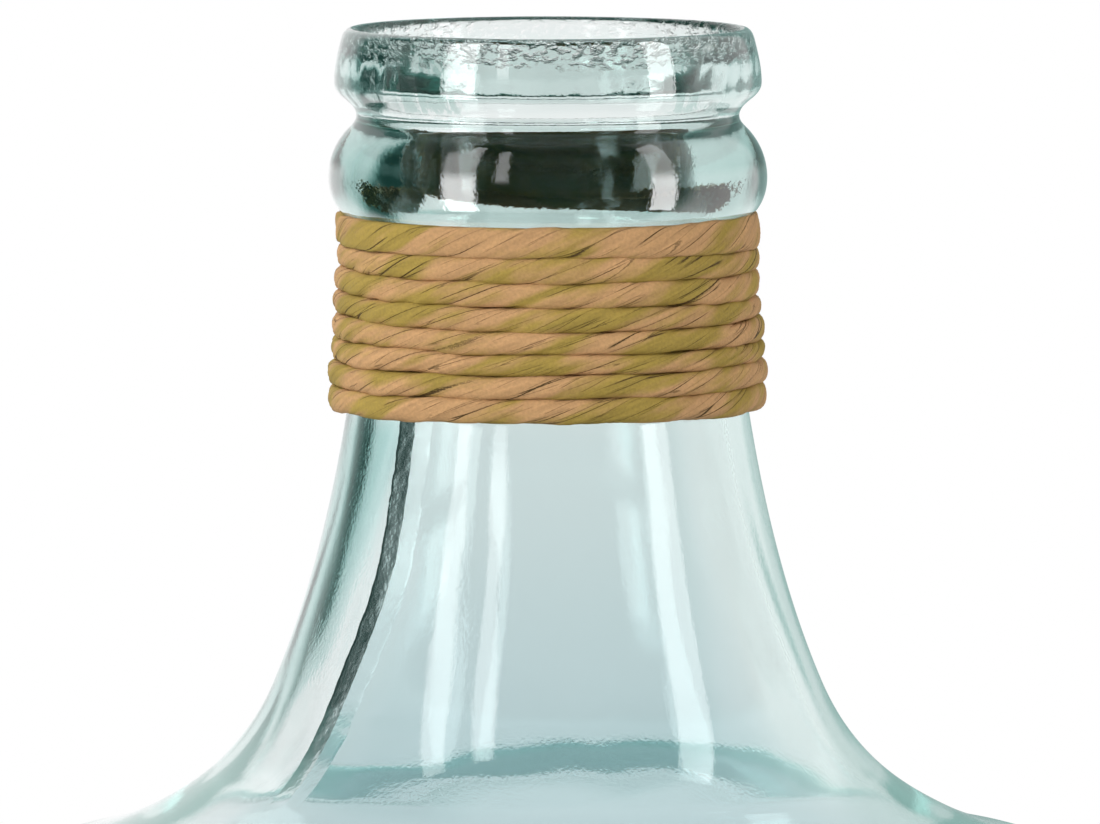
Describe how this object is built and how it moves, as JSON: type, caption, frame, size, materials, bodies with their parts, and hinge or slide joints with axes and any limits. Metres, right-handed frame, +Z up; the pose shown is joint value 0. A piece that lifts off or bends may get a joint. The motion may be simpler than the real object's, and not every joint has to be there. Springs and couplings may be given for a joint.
{
  "type": "glass vase",
  "caption": "Free-standing blown glass vase with a rolled collar lip, a grooved neck wound with twisted paper cord, a bell-shaped flare and a round body on a foot ring.",
  "frame": {"origin": "centre of the foot, on the surface that the vase stands on", "axes": "+Z up along the axis of the glass, -Y towards the front"},
  "size_m": [0.29, 0.29, 0.405],
  "materials": {
    "glass": "clear blown glass with a pale blue-green tint",
    "paper_cord": "matt twisted paper, tan with olive patches"
  },
  "bodies": {
    "root": {"glass_vessel": "glass", "neck_rope": "paper_cord"}
  },
  "joints": []
}
